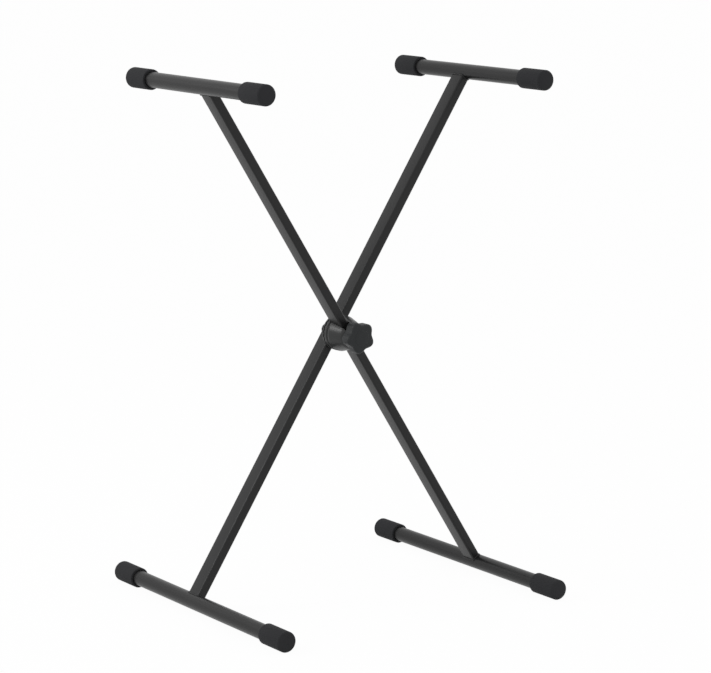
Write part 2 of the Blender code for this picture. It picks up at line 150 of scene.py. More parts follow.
def edit_along(thing: Thing, part: Part, axis: int) -> None:
    """Open an object in edit mode with the edges or faces along one axis selected.

    Args:
        thing: The object to shape.
        part: Edges, by the way they run, or faces, by their normal.
        axis: 0, 1 or 2.
    """
    edit(thing, part)
    mesh = bmesh.from_edit_mesh(thing.data)
    if part is Part.EDGES:
        found = [(e, (e.verts[1].co - e.verts[0].co).normalized()) for e in mesh.edges]
    else:
        found = [(f, f.normal) for f in mesh.faces]
    for item, way in found:
        if abs(way[axis]) > ALONG:
            item.select_set(True)
    mesh.select_flush_mode()
    bmesh.update_edit_mesh(thing.data)


def add_box(name: str, size: Sequence[float], centre: Sequence[float]) -> Thing:
    """Add a box as a start for shaping.

    Args:
        name: The new object's name.
        size: Its three sides.
        centre: Its middle.

    Returns:
        The new object.
    """
    let_go()
    bpy.ops.mesh.primitive_cube_add(size=1.0, location=centre, scale=size)
    bpy.ops.object.transform_apply()
    thing = bpy.context.object
    thing.name = name
    return thing


def add_turned(name: str, profile: Profile, count: int, bored: bool = False) -> Thing:
    """Turn a profile about Y: a circle, extruded ring by ring and resized to each radius.

    Args:
        name: The new object's name.
        profile: Points of radius and y, none of radius 0, running along the skin.
        count: Facets round.
        bored: True where the last ring meets the first, which leaves a bore.

    Returns:
        The new object.
    """
    let_go()
    radius, y = profile[0]
    bpy.ops.mesh.primitive_circle_add(vertices=count, radius=radius, location=(0, y, 0),
                                      rotation=(math.pi / 2, 0, 0))
    thing = bpy.context.object
    thing.name = name
    bpy.ops.object.transform_apply()
    edit(thing, Part.EDGES)
    bpy.ops.mesh.select_all(action="SELECT")
    for (r0, y0), (r1, y1) in zip(profile, profile[1:]):
        bpy.ops.mesh.extrude_region_move(TRANSFORM_OT_translate={"value": (0, y1 - y0, 0)})
        bpy.ops.transform.resize(value=(r1 / r0, 1, r1 / r0), center_override=(0, y1, 0))
    if not bored:
        bpy.ops.mesh.edge_face_add()
    bpy.ops.mesh.select_all(action="DESELECT")
    bpy.ops.mesh.select_non_manifold()
    if bored:
        bpy.ops.mesh.bridge_edge_loops()
    else:
        bpy.ops.mesh.edge_face_add()
    face_out(thing)
    return thing


def face_out(thing: Thing) -> None:
    """Merge doubles and turn every face outwards.

    Args:
        thing: The object to put right.
    """
    edit(thing, Part.VERTS)
    bpy.ops.mesh.select_all(action="SELECT")
    bpy.ops.mesh.remove_doubles(threshold=MERGE)
    bpy.ops.mesh.normals_make_consistent(inside=False)
    let_go()


def reshape(thing: Thing, rule: Callable[[Vector], Vector]) -> None:
    """Move every vertex by a rule from place to place, where no operator gives the form."""
    for vertex in thing.data.vertices:
        vertex.co = rule(vertex.co)
    thing.data.update()


def assign(target: object, settings: dict[str, object]) -> None:
    """Set several properties of a modifier, a node or other data."""
    for name, value in settings.items():
        setattr(target, name, value)


def modify(thing: Thing, kind: str, **settings: object) -> None:
    """Add a modifier to an object and apply it.

    Args:
        thing: The object.
        kind: The modifier's type.
        settings: The modifier's own properties.
    """
    take(thing)
    modifier = thing.modifiers.new(kind, kind)
    assign(modifier, settings)
    bpy.ops.object.modifier_apply(modifier=modifier.name)


def combine(thing: Thing, other: Thing, operation: str) -> None:
    """Cut another object from this one, or fuse it on with UNION, and remove the other."""
    modify(thing, "BOOLEAN", operation=operation, solver="EXACT", object=other)
    bpy.data.objects.remove(other, do_unlink=True)


def settle(thing: Thing, matrix: Matrix) -> None:
    """Move an object into place and put that place into its mesh.

    Args:
        thing: The object.
        matrix: Where it goes.
    """
    take(thing)
    thing.matrix_world = matrix
    bpy.ops.object.transform_apply()


def arc(centre: Span, radius: float, start: float, stop: float, steps: int) -> Profile:
    """Points on an arc about (radius, y), its angles in degrees from the radial direction towards +y."""
    angles = [math.radians(start + (stop - start) * i / steps) for i in range(steps + 1)]
    return [(centre[0] + radius * math.cos(a), centre[1] + radius * math.sin(a)) for a in angles]


def box_centre(node: str) -> Vector:
    """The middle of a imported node's box."""
    low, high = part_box(node)
    return (low + high) / 2


def node_radius(node: str) -> float:
    """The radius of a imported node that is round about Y."""
    low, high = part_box(node)
    return (high.z - low.z) / 2


def pivot_place() -> Vector:
    """Where the bolt's axis stands, at y 0."""
    hinge = next(joint for joint in frame["joints"] if joint["name"] == "leg_fold")
    return Vector(hinge["pos_m"])


def at_pivot(y: float = 0.0) -> Matrix:
    """From a frame with the bolt's axis at zero to the stand's, moved along the bolt by y."""
    return Matrix.Translation(pivot_place() + Vector((0, y, 0)))


def lean(leg: str) -> Matrix:
    """A leg's leaning, as a turn about Y."""
    along = box_centre(f"{leg}_top_bar") - box_centre(f"{leg}_foot_bar")
    return Matrix.Rotation(math.atan2(along.x, along.z), 4, "Y")


class NodeBoard:
    """Shader nodes of one material or group, added and joined in short calls."""

    def __init__(self, tree: Tree) -> None:
        """Take hold of a material's or a group's tree."""
        self.tree = tree

    def feed(self, node: Node, inputs: Inputs) -> None:
        """Set a node's inputs, by name or number, to values, or join outputs to them."""
        for key, value in inputs.items():
            if isinstance(value, Socket):
                self.tree.links.new(value, node.inputs[key])
            else:
                node.inputs[key].default_value = value

    def add(self, kind: str, inputs: Inputs | None = None, **settings: object) -> Node:
        """Add a node.

        Args:
            kind: The node's type.
            inputs: What goes into it, a value or an output for each name or number.
            settings: The node's own properties.

        Returns:
            The new node.
        """
        node = self.tree.nodes.new(kind)
        assign(node, settings)
        self.feed(node, inputs or {})
        return node

    def effect(self, tree: Tree, inputs: Inputs) -> dict[str, Socket]:
        """Add a shared effect and give its outputs by name."""
        return dict(self.add("ShaderNodeGroup", inputs, node_tree=tree).outputs.items())

    def math(self, operation: str, first: Feed, second: Feed) -> Socket:
        """The result of a Math node on two values or outputs."""
        return self.add("ShaderNodeMath", {0: first, 1: second}, operation=operation).outputs[0]

    def spread(self, value: Socket, source: Span, target: Span = (0.0, 1.0)) -> Socket:
        """A value mapped from one range to another, clamped."""
        ends = dict(zip(("From Min", "From Max", "To Min", "To Max"), source + target))
        return self.add("ShaderNodeMapRange", {"Value": value, **ends}).outputs["Result"]

    def blend(self, factor: Feed, first: Feed, second: Feed) -> Socket:
        """Two colours mixed, the factor being the share of the second."""
        return self.add("ShaderNodeMix", {0: factor, 6: first, 7: second}, data_type="RGBA").outputs[2]

    def noise(self, place: Socket, scale: Feed, detail: float, roughness: float = 0.5) -> Socket:
        """A Noise Texture's value, its scale in features to the metre."""
        return self.add("ShaderNodeTexNoise", {"Vector": place, "Scale": scale, "Detail": detail,
                                               "Roughness": roughness}).outputs["Fac"]

    def skin(self, shader: Node, tint: Feed, rough: Feed, height: Feed, depth: float) -> None:
        """Give a shader its colour, its roughness and a relief of some metres' depth."""
        bump = self.add("ShaderNodeBump", {"Height": height, "Distance": depth, "Strength": 1.0})
        self.feed(shader, {"Base Color": tint, "Roughness": rough, "Normal": bump.outputs["Normal"]})


def start_effect(name: str, inputs: dict[str, float],
                 outputs: Sequence[str]) -> tuple[NodeBoard, dict[str, Socket], Node]:
    """Start a node group that reads a place and some values.

    Args:
        name: The group's name.
        inputs: Each value input and its default.
        outputs: The names of the value outputs.

    Returns:
        Its board, what it reads by name, and its output node.
    """
    tree = bpy.data.node_groups.new(name, "ShaderNodeTree")
    tree.interface.new_socket("Place", in_out="INPUT", socket_type="NodeSocketVector")
    for key, value in inputs.items():
        socket = tree.interface.new_socket(key, in_out="INPUT", socket_type="NodeSocketFloat")
        socket.default_value = value
    for key in outputs:
        tree.interface.new_socket(key, in_out="OUTPUT", socket_type="NodeSocketFloat")
    board = NodeBoard(tree)
    source = board.add("NodeGroupInput")
    return board, {socket.name: socket for socket in source.outputs}, board.add("NodeGroupOutput")


@cache
def grain_effect() -> Tree:
    """A moulded or sprayed skin: a broad swell, a fine pebble and slow cloudy patches.

    Returns:
        The node group.
    """
    defaults = {"Swell Scale": 260.0, "Pebble Scale": 900.0, "Pebble Share": 0.5}
    board, read, target = start_effect("skin_grain", defaults, ("Height", "Cloud"))
    swell = board.noise(read["Place"], read["Swell Scale"], 1.0)
    pebble = board.noise(read["Place"], read["Pebble Scale"], 3.0, 0.6)
    height = board.math("ADD", swell, board.math("MULTIPLY", pebble, read["Pebble Share"]))
    board.feed(target, {"Height": height, "Cloud": board.noise(read["Place"], 14.0, 4.0, 0.55)})
    return board.tree


@cache
def rubs_effect() -> Tree:
    """Sparse light rubs and fine hairline scratches from handling.

    Returns:
        The node group.
    """
    board, read, target = start_effect("handling_rubs", {"Amount": 0.5}, ("Rub", "Scratch"))
    patchy = board.spread(board.noise(read["Place"], 22.0, 3.0, 0.6), (0.52, 0.70))
    specky = board.spread(board.noise(read["Place"], 320.0, 3.0, 0.7), (0.56, 0.68))
    rub = board.math("MULTIPLY", board.math("MULTIPLY", patchy, specky), read["Amount"])
    stretched = board.add("ShaderNodeMapping", {"Vector": read["Place"], "Rotation": (0.3, 0.5, 0.9),
                                                "Scale": (30.0, 900.0, 160.0)}).outputs["Vector"]
    line = board.spread(board.noise(stretched, 1.0, 2.0), (0.66, 0.72))
    scratch = board.math("MULTIPLY", board.math("MULTIPLY", line, patchy), read["Amount"])
    board.feed(target, {"Rub": rub, "Scratch": scratch})
    return board.tree


@cache
def dust_effect() -> Tree:
    """A thin film of dust, thicker in broad cloudy patches.

    Returns:
        The node group.
    """
    board, read, target = start_effect("dust_film", {"Amount": 0.3}, ("Dust",))
    broad = board.spread(board.noise(read["Place"], 9.0, 3.0, 0.6), (0.35, 0.75))
    fine = board.spread(board.noise(read["Place"], 1500.0, 2.0, 0.7), (0.40, 0.75), (0.2, 1.0))
    film = board.math("MULTIPLY", board.math("MULTIPLY", broad, fine), read["Amount"])
    board.feed(target, {"Dust": film})
    return board.tree


def start_material(name: str) -> tuple[NodeBoard, Node, bpy.types.Material]:
    """A new material with its shader.

    Args:
        name: The material's name.

    Returns:
        Its board, its Principled BSDF and the material.
    """
    material = bpy.data.materials.new(name)
    material.use_nodes = True
    return NodeBoard(material.node_tree), material.node_tree.nodes["Principled BSDF"], material


def colour(red: float, green: float, blue: float) -> Colour:
    """An opaque linear colour."""
    return (red, green, blue, 1.0)


@dataclass(frozen=True)
class BlackFinish:
    """A black coated or moulded skin, with grain, handling rubs and a trace of dust."""

    name: str
    base: Colour
    lifted: Colour
    rubbed: Colour
    roughness: float
    specular: float
    pebble_scale: float
    pebble_share: float
    swell_scale: float = 420.0
    roughness_swing: float = 0.05
    bump_depth: float = 0.00006
    rub_amount: float = 0.35
    rub_polish: float = 0.10
    dust_amount: float = 0.06
    dust_matting: float = 0.35
    dust_tint: Colour = colour(0.16, 0.155, 0.145)

    @cache
    def material(self) -> bpy.types.Material:
        """Build the finish once.

        Returns:
            The material.
        """
        board, shader, material = start_material(self.name)
        place = board.add("ShaderNodeTexCoord").outputs["Object"]
        grain = board.effect(grain_effect(), {"Place": place, "Swell Scale": self.swell_scale,
                                              "Pebble Scale": self.pebble_scale,
                                              "Pebble Share": self.pebble_share})
        rubs = board.effect(rubs_effect(), {"Place": place, "Amount": self.rub_amount})
        dust = board.effect(dust_effect(), {"Place": place, "Amount": self.dust_amount})
        tinted = board.blend(board.spread(grain["Cloud"], CLOUDY), self.base, self.lifted)
        worn = board.blend(rubs["Rub"], tinted, self.rubbed)
        dusty = board.blend(dust["Dust"], worn, self.dust_tint)
        swing = (self.roughness - self.roughness_swing, self.roughness + self.roughness_swing)
        rough = board.spread(grain["Cloud"], CLOUDY, swing)
        rough = board.math("SUBTRACT", rough, board.math("MULTIPLY", rubs["Rub"], self.rub_polish))
        rough = board.math("ADD", rough, board.math("MULTIPLY", dust["Dust"], self.dust_matting))
        height = board.math("SUBTRACT", grain["Height"], rubs["Scratch"])
        board.skin(shader, dusty, rough, height, self.bump_depth)
        board.feed(shader, {"Specular IOR Level": self.specular})
        return material


@dataclass(frozen=True)
class MetalFinish:
    """Plated or turned metal, with fine lines round the bolt's axis and faint stains."""

    name: str
    bright: Colour
    stained: Colour
    roughness: float
    line_scale: float
    bump_depth: float
    line_length: float = 40.0
    line_polish: float = 0.06
    line_matting: float = 0.08
    rub_amount: float = 0.8
    scratch_depth: float = 0.8
    stain_matting: float = 0.12

    @cache
    def material(self) -> bpy.types.Material:
        """Build the finish once.

        Returns:
            The material.
        """
        board, shader, material = start_material(self.name)
        place = board.add("ShaderNodeTexCoord").outputs["Object"]
        grain = board.effect(grain_effect(), {"Place": place})
        rubs = board.effect(rubs_effect(), {"Place": place, "Amount": self.rub_amount})
        scale = (self.line_length, self.line_scale, self.line_length)
        drawn = board.add("ShaderNodeMapping", {"Vector": place, "Scale": scale})
        lines = board.noise(drawn.outputs["Vector"], 1.0, 3.0, 0.6)
        stain = board.spread(grain["Cloud"], (0.45, 0.72), (0.0, 0.8))
        tinted = board.blend(stain, self.bright, self.stained)
        swing = (self.roughness - self.line_polish, self.roughness + self.line_matting)
        rough = board.math("ADD", board.spread(lines, CLOUDY, swing),
                           board.math("MULTIPLY", stain, self.stain_matting))
        height = board.math("ADD", lines, board.math("MULTIPLY", rubs["Scratch"], -self.scratch_depth))
        board.skin(shader, tinted, rough, height, self.bump_depth)
        board.feed(shader, {"Metallic": 1.0})
        return material


FINISHES = {
    Slot.POWDER_COAT: BlackFinish(
        "black_powder_coat", base=colour(0.0080, 0.0080, 0.0084), lifted=colour(0.0108, 0.0108, 0.0112),
        rubbed=colour(0.030, 0.030, 0.031), roughness=0.33, roughness_swing=0.03, specular=0.25,
        pebble_scale=1500.0, pebble_share=0.35, dust_amount=0.05),
    Slot.RUBBER: BlackFinish(
        "black_rubber", base=colour(0.0215, 0.0220, 0.0240), lifted=colour(0.0265, 0.0270, 0.0295),
        rubbed=colour(0.040, 0.040, 0.041), roughness=0.74, specular=0.10, swell_scale=500.0,
        pebble_scale=2600.0, pebble_share=0.9, bump_depth=0.00007, rub_amount=0.30, dust_amount=0.10),
    Slot.NYLON: BlackFinish(
        "black_nylon", base=colour(0.0140, 0.0147, 0.0147), lifted=colour(0.0178, 0.0185, 0.0185),
        rubbed=colour(0.045, 0.045, 0.044), roughness=0.33, roughness_swing=0.04, specular=0.34,
        swell_scale=380.0, pebble_scale=2200.0, pebble_share=0.7),
    Slot.KNOB_PLASTIC: BlackFinish(
        "black_knob_plastic", base=colour(0.0125, 0.0142, 0.0150), lifted=colour(0.0165, 0.0184, 0.0194),
        rubbed=colour(0.040, 0.041, 0.043), roughness=0.46, specular=0.24, pebble_scale=2400.0,
        pebble_share=1.0, bump_depth=0.00008, rub_amount=0.30),
    Slot.ZINC: MetalFinish(
        "bright_zinc", bright=colour(0.62, 0.63, 0.64), stained=colour(0.50, 0.49, 0.46), roughness=0.30,
        line_scale=900.0, bump_depth=0.00002),
    Slot.BRASS: MetalFinish(
        "turned_brass", bright=colour(0.71, 0.53, 0.25), stained=colour(0.50, 0.34, 0.15), roughness=0.28,
        line_scale=1100.0, bump_depth=0.00003),
}


def hand_over(thing: Thing, place: Matrix, body: Body, slot: Slot, sharp: float = 32.0) -> None:
    """Put a piece into place, shade and dress it, and hand it to the body that carries it.

    Args:
        thing: The piece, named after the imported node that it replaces.
        place: Where it goes.
        body: The body that carries it.
        slot: The material slot of its finish.
        sharp: Edges that turn by more degrees than this stay sharp.
    """
    node = thing.name.removesuffix(LOOK)
    settle(thing, place)
    bpy.ops.object.shade_smooth_by_angle(angle=math.radians(sharp))
    let_go()
    thing.data.materials.clear()
    thing.data.materials.append(FINISHES[slot].material())
    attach(thing, body.value)
    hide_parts(node)
    LOG.info("%s: %d faces, on %s", thing.name, len(thing.data.polygons), body.value)


@dataclass(frozen=True)
class BoltSizes:
    """An M8 carriage bolt."""

    radius: float = 0.004
    pitch: float = 0.00125
    thread_depth: float = 0.00068
    thread_length: float = 0.024
    neck_length: float = 0.0026
    head_rim: float = 0.0008
    tip_bevel: float = 0.0006

    @property
    def bore(self) -> float:
        """The radius of a hole that the bolt passes through."""
        return self.radius + RUNNING_GAP


BOLT = BoltSizes()


@dataclass
class CrossedLeg:
    """One leg: its tube, two crossbars, two welds and four rubber caps."""

    prefix: str
    body: Body
    width: float = 0.015
    wall: float = 0.0015
    corner: float = 0.0031
    bar_wall: float = 0.0015
    bead_radius: float = 0.0013
    bead_ripple: float = 0.0021
    bead_gap: float = 0.0002
    bead_swell: float = 0.16  # share of the radius that a ripple adds
    bead_drift: float = 0.05  # and that its width wanders by
    bead_limit: float = 0.98  # share of the bar's radius that it keeps within
    cap_gap: float = 0.00015
    cap_end: float = 0.004
    cap_round: float = 0.0042
    cap_flat: float = 0.0035  # from the end's rounding in to its last ring
    cap_lip: float = 0.0009
    cap_fillet: float = 0.0004
    depth: float = field(init=False)
    middle_y: float = field(init=False)
    bar_radius: float = field(init=False)

    def __post_init__(self) -> None:
        """Read the leg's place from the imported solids."""
        low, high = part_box(f"{self.prefix}_tube")
        self.depth = high.y - low.y
        self.middle_y = (low.y + high.y) / 2
        self.bar_radius = node_radius(f"{self.prefix}_top_bar")

    def place(self) -> Matrix:
        """From the leg's own frame, with Z along the leg and the pivot at zero, to the stand's."""
        return at_pivot() @ lean(self.prefix)

    def build(self) -> None:
        """Build every piece of the leg and hand it over."""
        self.tube()
        for end in ("top", "foot"):
            self.bar(end)
            self.bead(end)
            self.cap(end, "near", -1)
            self.cap(end, "far", 1)

    def reach(self, end: str) -> float:
        """How far up the leg from the pivot a bar stands."""
        bar, pivot = self.bar_middle(end), pivot_place()
        return math.copysign(math.hypot(bar.x - pivot.x, bar.z - pivot.z), bar.z - pivot.z)

    def cutter(self, radius: float, count: int) -> Thing:
        """A plain cylinder along Y that cuts through the tube, with count facets."""
        ends = (self.middle_y - self.depth, self.middle_y + self.depth)
        return add_turned("cutter", [(radius, y) for y in ends], count)

    def tube(self) -> None:
        """The rectangular tube: rounded long corners, ends saddled to the bars, and a drilled bolt hole."""
        top, foot = self.reach("top"), self.reach("foot")
        tube = add_box(f"{self.prefix}_tube{LOOK}", (self.width, self.depth, top - foot),
                       (0, self.middle_y, (top + foot) / 2))
        edit_along(tube, Part.EDGES, 2)
        bpy.ops.mesh.bevel(offset=self.corner, segments=8)
        edit_along(tube, Part.FACES, 2)
        bpy.ops.mesh.delete(type="ONLY_FACE")
        modify(tube, "SOLIDIFY", thickness=self.wall, offset=-1.0, use_even_offset=True)
        for reach in (top, foot):
            saddle = self.cutter(self.bar_radius + HAIR, FINE_ROUND)
            settle(saddle, Matrix.Translation((0, 0, reach)))
            combine(tube, saddle, "DIFFERENCE")
        combine(tube, self.cutter(BOLT.bore, SMALL_ROUND), "DIFFERENCE")
        hand_over(tube, self.place(), self.body, Slot.POWDER_COAT)

    def bar(self, end: str) -> None:
        """A round crossbar with softened open ends.

        Args:
            end: top or foot.
        """
        near, far = (corner.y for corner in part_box(f"{self.prefix}_{end}_bar"))
        outer, bore, soft = self.bar_radius, self.bar_radius - self.bar_wall, BROKEN_EDGE
        profile = [(bore + soft, near), (outer - soft, near), (outer, near + soft), (outer, far - soft),
                   (outer - soft, far), (bore + soft, far), (bore, far - soft), (bore, near + soft)]
        bar = add_turned(f"{self.prefix}_{end}_bar{LOOK}", profile, FINE_ROUND, bored=True)
        hand_over(bar, Matrix.Translation(self.bar_middle(end)), self.body, Slot.POWDER_COAT)

    def bar_middle(self, end: str) -> Vector:
        """A point on a bar's axis, at y 0."""
        centre = box_centre(f"{self.prefix}_{end}_bar")
        return Vector((centre.x, 0, centre.z))

    def cap(self, end: str, where: str, side: int) -> None:
        """A moulded rubber cup over a bar's end.

        Args:
            end: top or foot.
            where: near or far.
            side: -1 near and 1 far.
        """
        node = f"{self.prefix}_{end}_cap_{where}"
        low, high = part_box(node)
        outer = node_radius(node)
        length = high.y - low.y
        tip = high.y if side > 0 else low.y
        bore = self.bar_radius + self.cap_gap
        bend, lip, fillet, floor = self.cap_round, self.cap_lip, self.cap_fillet, -self.cap_end
        profile = [(CORE, 0.0), (outer - bend - self.cap_flat, 0.0)]
        profile += arc((outer - bend, -bend), bend, 90, 0, 8)
        profile += arc((outer - lip, lip - length), lip, 0, -90, 4)
        profile += arc((bore + lip / 2, lip / 2 - length), lip / 2, -90, -180, 3)
        profile += [(bore, floor - fillet), (bore - fillet, floor), (CORE, floor)]
        placed = [(radius, tip + side * back) for radius, back in profile]
        cap = add_turned(node + LOOK, placed, FINE_ROUND)
        hand_over(cap, Matrix.Translation(self.bar_middle(end)), self.body, Slot.RUBBER)

    def rim_point(self, share: float) -> tuple[Vector, Vector]:
        """A point on the tube's rounded outline, and the direction outwards there.

        Args:
            share: How far round, from 0 to 1.

        Returns:
            The point and the direction, both across the leg.
        """
        half_x = self.width / 2 - self.corner
        half_y = self.depth / 2 - self.corner
        bend = math.pi * self.corner / 2
        left = share * 4 * (half_x + half_y + bend)
        for index, (x, y) in enumerate(((1, 0), (0, 1), (-1, 0), (0, -1))):
            outwards, along = Vector((x, y, 0)), Vector((-y, x, 0))
            half, out = (half_x, half_y) if y else (half_y, half_x)
            if left <= 2 * half:
                return outwards * (out + self.corner) + along * (left - half), outwards
            left -= 2 * half
            if left <= bend:
                turn = index * math.pi / 2 + left / self.corner
                way = Vector((math.cos(turn), math.sin(turn), 0))
                return outwards * out + along * half + way * self.corner, way
            left -= bend
        return self.rim_point(0.0)

    def bead(self, end: str) -> None:
        """A rippled bead of weld round the tube's end, lying in the corner between tube and bar.

        Args:
            end: top or foot.
        """
        perimeter = 2 * (self.width + self.depth) - (8 - FULL_TURN) * self.corner
        ripples = round(perimeter / self.bead_ripple)
        let_go()
        bpy.ops.mesh.primitive_torus_add(major_segments=8 * ripples, minor_segments=12, major_radius=1.0,
                                         minor_radius=0.5)
        bead = bpy.context.object
        bead.name = f"{self.prefix}_{end}_weld{LOOK}"
        towards, reach = -1 if end == "top" else 1, self.reach(end)

        def follow(at: Vector) -> Vector:
            """Carry a point of the plain ring to the saddle-shaped corner.

            Args:
                at: The point.

            Returns:
                Its place in the leg's frame.
            """
            turn = math.atan2(at.y, at.x) % FULL_TURN
            out = math.hypot(at.x, at.y) - 1.0
            point, outwards = self.rim_point(turn / FULL_TURN)
            phase = turn * ripples / FULL_TURN
            swell = self.bead_swell * abs(math.sin(math.pi * phase))
            swell += self.bead_drift * math.sin(2.3 * turn + 1.0)
            radius = self.bead_radius * (1.0 + swell)
            seat = point + outwards * (self.bead_gap + radius * 2 * out)
            across = min(abs(point.x + outwards.x * self.bead_gap), self.bar_radius * self.bead_limit)
            height = math.sqrt(self.bar_radius ** 2 - across ** 2) + self.bead_gap + radius * 2 * at.z
            return Vector((seat.x, seat.y + self.middle_y, reach + towards * height))

        reshape(bead, follow)
        face_out(bead)
        hand_over(bead, self.place(), self.body, Slot.POWDER_COAT, sharp=60.0)


@dataclass
class ToothedClutch:
    """The two toothed halves at the crossing: a disc on the rear leg and a drum that cups the front leg."""

    teeth: int = 24
    rise: float = 0.0009  # half a tooth's height at tooth_radius
    tooth_radius: float = 0.0290
    inner_radius: float = 0.016
    pocket_radius: float = 0.0092
    pocket_floor: float = 0.0036
    hub_face: float = 0.0026
    clear: float = 0.0021  # between the toothed faces when released
    rim_edge: float = 0.0004
    rim_soft: float = 0.0008
    peg_radius: float = 0.003
    peg_reach: float = 0.017
    peg_root: float = 0.001
    peg_bevel: float = 0.0005
    drum_shoulder: float = 0.0288
    drum_taper: float = math.radians(14.2)
    drum_round: float = 0.011
    belt: float = 0.0055  # the hollow band in front of the seam
    belt_steps: int = 8
    belt_edge: float = 0.0009
    cove: float = 0.0014  # how deep the belt is hollowed
    lip: float = 0.0120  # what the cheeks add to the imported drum
    hub_room: float = 0.0136
    past: float = 0.001  # from the front to the cutter's end
    groove: float = 0.0009
    seam_from_leg: float = 0.0017
    disc_shoulder: float = 0.0040
    disc_back_radius: float = 0.0284
    disc_soft: float = 0.0002
    leg_width: float = 0.015
    play: float = 0.0002
    channel_depth: float = 0.060
    channel_length: float = 0.12
    sharp: float = 20.0

    def build(self) -> None:
        """Build both halves and hand them over."""
        self.rear_disc()
        self.front_drum()

    def face_profile(self, side: int, rim: float) -> Profile:
        """The toothed face from the bolt hole to the rim, with its teeth still flat.

        Args:
            side: -1 for the front half and 1 for the rear.
            rim: The half's outer radius.

        Returns:
            The profile.
        """
        middle, floor, hub = side * self.clear / 2, side * self.pocket_floor, side * self.hub_face
        return [(BOLT.bore, floor), (self.pocket_radius, floor), (self.pocket_radius, hub),
                (self.inner_radius, hub), (self.inner_radius + HAIR, middle),
                (0.5 * (self.inner_radius + rim), middle), (rim - self.rim_edge, middle),
                (rim, middle + side * BROKEN_EDGE)]

    def with_teeth(self, half: Thing, side: int) -> None:
        """Raise the teeth: straight flanks that grow with the radius.

        Args:
            half: The turned half.
            side: -1 for the front half and 1 for the rear.
        """
        middle = side * self.clear / 2

        def wave(at: Vector) -> Vector:
            """Lift a point of the toothed ring.

            Args:
                at: The point.

            Returns:
                Its new place.
            """
            radius = math.hypot(at.x, at.z)
            if abs(at.y - middle) > self.rim_edge or radius < self.inner_radius:
                return at
            share = math.atan2(at.z, at.x) * self.teeth / FULL_TURN % 1.0
            height = -1.0 + 4.0 * min(share, 1.0 - share)
            return Vector((at.x, at.y + self.rise * height * radius / self.tooth_radius, at.z))

        reshape(half, wave)

    def rear_disc(self) -> None:
        """The rear half, a disc with two locking pegs that enter the rear leg."""
        rim = node_radius("clutch_rear")
        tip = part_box("clutch_rear")[1].y
        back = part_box("rear_leg_tube")[0].y - self.play
        outer, soft = self.disc_back_radius, self.disc_soft
        profile = self.face_profile(1, rim)
        profile += [(rim, self.disc_shoulder - soft), (rim - HAIR, self.disc_shoulder + soft)]
        profile += arc((outer - self.rim_soft, back - self.rim_soft), self.rim_soft, 40, 90, 4)
        profile.append((BOLT.bore, back))
        disc = add_turned(f"clutch_rear{LOOK}", profile, CLUTCH_ROUND, bored=True)
        self.with_teeth(disc, 1)
        for reach in (self.peg_reach, -self.peg_reach):
            peg = add_turned("peg", [(self.peg_radius, back - self.peg_root),
                                     (self.peg_radius, tip - self.peg_bevel),
                                     (self.peg_radius - self.peg_bevel, tip)], SMALL_ROUND)
            settle(peg, lean("rear_leg") @ Matrix.Translation((0, 0, reach)))
            combine(disc, peg, "UNION")
        hand_over(disc, at_pivot(), Body.REAR, Slot.NYLON, self.sharp)

    def drum_side(self, shoulder_y: float, front: float) -> Profile:
        """The drum's side from the seam on: a hollow belt, the taper and the rounded nose.

        Args:
            shoulder_y: Where the belt starts, in front of the seam.
            front: The plane of the drum's front.

        Returns:
            The profile.
        """
        shoulder, bend, taper = self.drum_shoulder, self.drum_round, self.drum_taper
        belt_y = shoulder_y - self.belt
        centre_y = front + bend
        touch_y = centre_y - bend * math.sin(taper)
        touch_radius = shoulder - (belt_y - touch_y) * math.tan(taper)
        shares = [i / self.belt_steps for i in range(self.belt_steps + 1)]
        belt = [(shoulder - self.cove * (1 - share) ** 2, shoulder_y - self.belt * share) for share in shares]
        turned_in = (shoulder - self.belt_edge * math.tan(taper), belt_y - self.belt_edge)
        nose = arc((touch_radius - bend * math.cos(taper), centre_y), bend, -math.degrees(taper), -90, 14)
        return belt + [turned_in] + nose

    def front_drum(self) -> None:
        """The front half, a tapered drum with a seam groove, whose two cheeks cup the front leg."""
        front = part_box("clutch_front")[0].y - self.lip
        rim = self.tooth_radius
        outer, inner = (corner.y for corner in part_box("front_leg_tube"))  # the leg's front and back
        seam = inner - self.seam_from_leg
        profile = self.face_profile(-1, rim)
        profile += [(rim, seam + self.groove), (rim - self.groove, seam + self.groove / 3),
                    (rim - self.groove, seam - self.groove / 3)]
        profile += self.drum_side(seam - self.groove, front)
        profile.append((BOLT.bore, front))
        drum = add_turned(f"clutch_front{LOOK}", profile, CLUTCH_ROUND, bored=True)
        self.with_teeth(drum, -1)
        size = (self.leg_width + 2 * self.play, self.channel_depth, self.channel_length)
        channel = add_box("channel", size, (0, inner + HAIR - self.channel_depth / 2, 0))
        settle(channel, lean("front_leg"))
        combine(drum, channel, "DIFFERENCE")
        room = add_turned("room", [(self.hub_room, outer), (self.hub_room, front - self.past)], FINE_ROUND)
        combine(drum, room, "DIFFERENCE")
        hand_over(drum, at_pivot(), Body.FRONT, Slot.NYLON, self.sharp)


